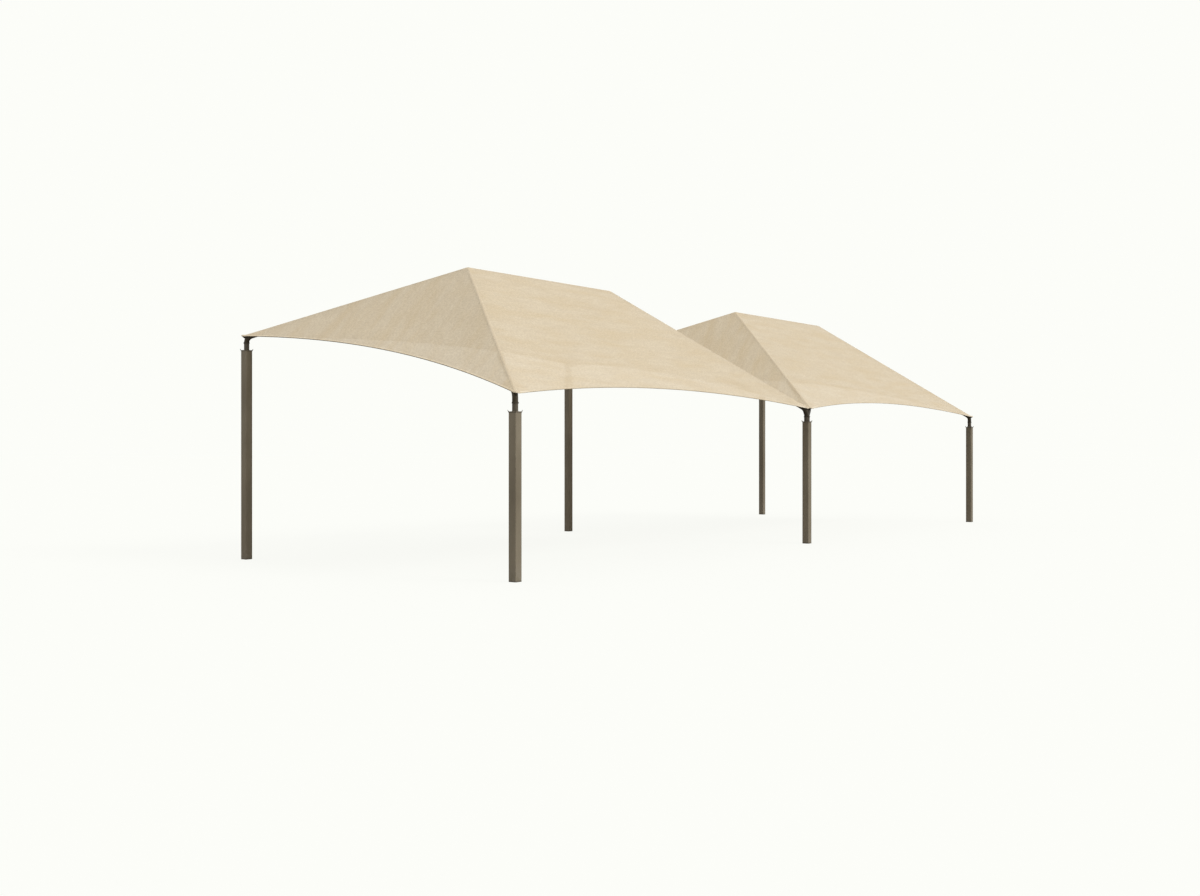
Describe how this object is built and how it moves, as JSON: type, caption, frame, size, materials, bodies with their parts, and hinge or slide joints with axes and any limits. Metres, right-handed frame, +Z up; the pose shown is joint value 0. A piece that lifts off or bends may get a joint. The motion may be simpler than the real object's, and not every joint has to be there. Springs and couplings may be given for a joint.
{
  "type": "hip shade structure",
  "caption": "Open shade structure with hipped tensioned cloth canopies on round tube rafters over square steel posts, low at the front and tall at the back.",
  "frame": {"origin": "ground level at the middle of the overall footprint", "axes": "+X along both bays, to the right as seen from the low front row; +Y towards the tall back row of posts; +Z up"},
  "size_m": [18.1728, 6.2728, 5.0429],
  "materials": {
    "bronze_paint": "dark bronze powder coat, satin",
    "shade_cloth": "knitted sand shade cloth",
    "wire_rope": "galvanised wire rope"
  },
  "bodies": {
    "root": {"canopy_left_bay_back": "shade_cloth", "canopy_left_bay_front": "shade_cloth", "canopy_left_bay_left_end": "shade_cloth", "canopy_left_bay_right_end": "shade_cloth", "canopy_right_bay_back": "shade_cloth", "canopy_right_bay_front": "shade_cloth", "canopy_right_bay_left_end": "shade_cloth", "canopy_right_bay_right_end": "shade_cloth", "corner_elbow_back_left": "bronze_paint", "corner_elbow_back_right": "bronze_paint", "corner_elbow_front_left": "bronze_paint", "corner_elbow_front_right": "bronze_paint", "double_elbow_back": "bronze_paint", "double_elbow_front": "bronze_paint", "hem_cable_left_bay": "wire_rope", "hem_cable_right_bay": "wire_rope", "hip_rafter_left_bay_back_left": "bronze_paint", "hip_rafter_left_bay_back_right": "bronze_paint", "hip_rafter_left_bay_front_left": "bronze_paint", "hip_rafter_left_bay_front_right": "bronze_paint", "hip_rafter_right_bay_back_left": "bronze_paint", "hip_rafter_right_bay_back_right": "bronze_paint", "hip_rafter_right_bay_front_left": "bronze_paint", "hip_rafter_right_bay_front_right": "bronze_paint", "post_back_left": "bronze_paint", "post_back_middle": "bronze_paint", "post_back_right": "bronze_paint", "post_cap_back_left": "bronze_paint", "post_cap_back_middle": "bronze_paint", "post_cap_back_right": "bronze_paint", "post_cap_front_left": "bronze_paint", "post_cap_front_middle": "bronze_paint", "post_cap_front_right": "bronze_paint", "post_front_left": "bronze_paint", "post_front_middle": "bronze_paint", "post_front_right": "bronze_paint", "ridge_beam_left_bay": "bronze_paint", "ridge_beam_right_bay": "bronze_paint", "ridge_hub_left_bay_left": "bronze_paint", "ridge_hub_left_bay_right": "bronze_paint", "ridge_hub_right_bay_left": "bronze_paint", "ridge_hub_right_bay_right": "bronze_paint"}
  },
  "joints": []
}
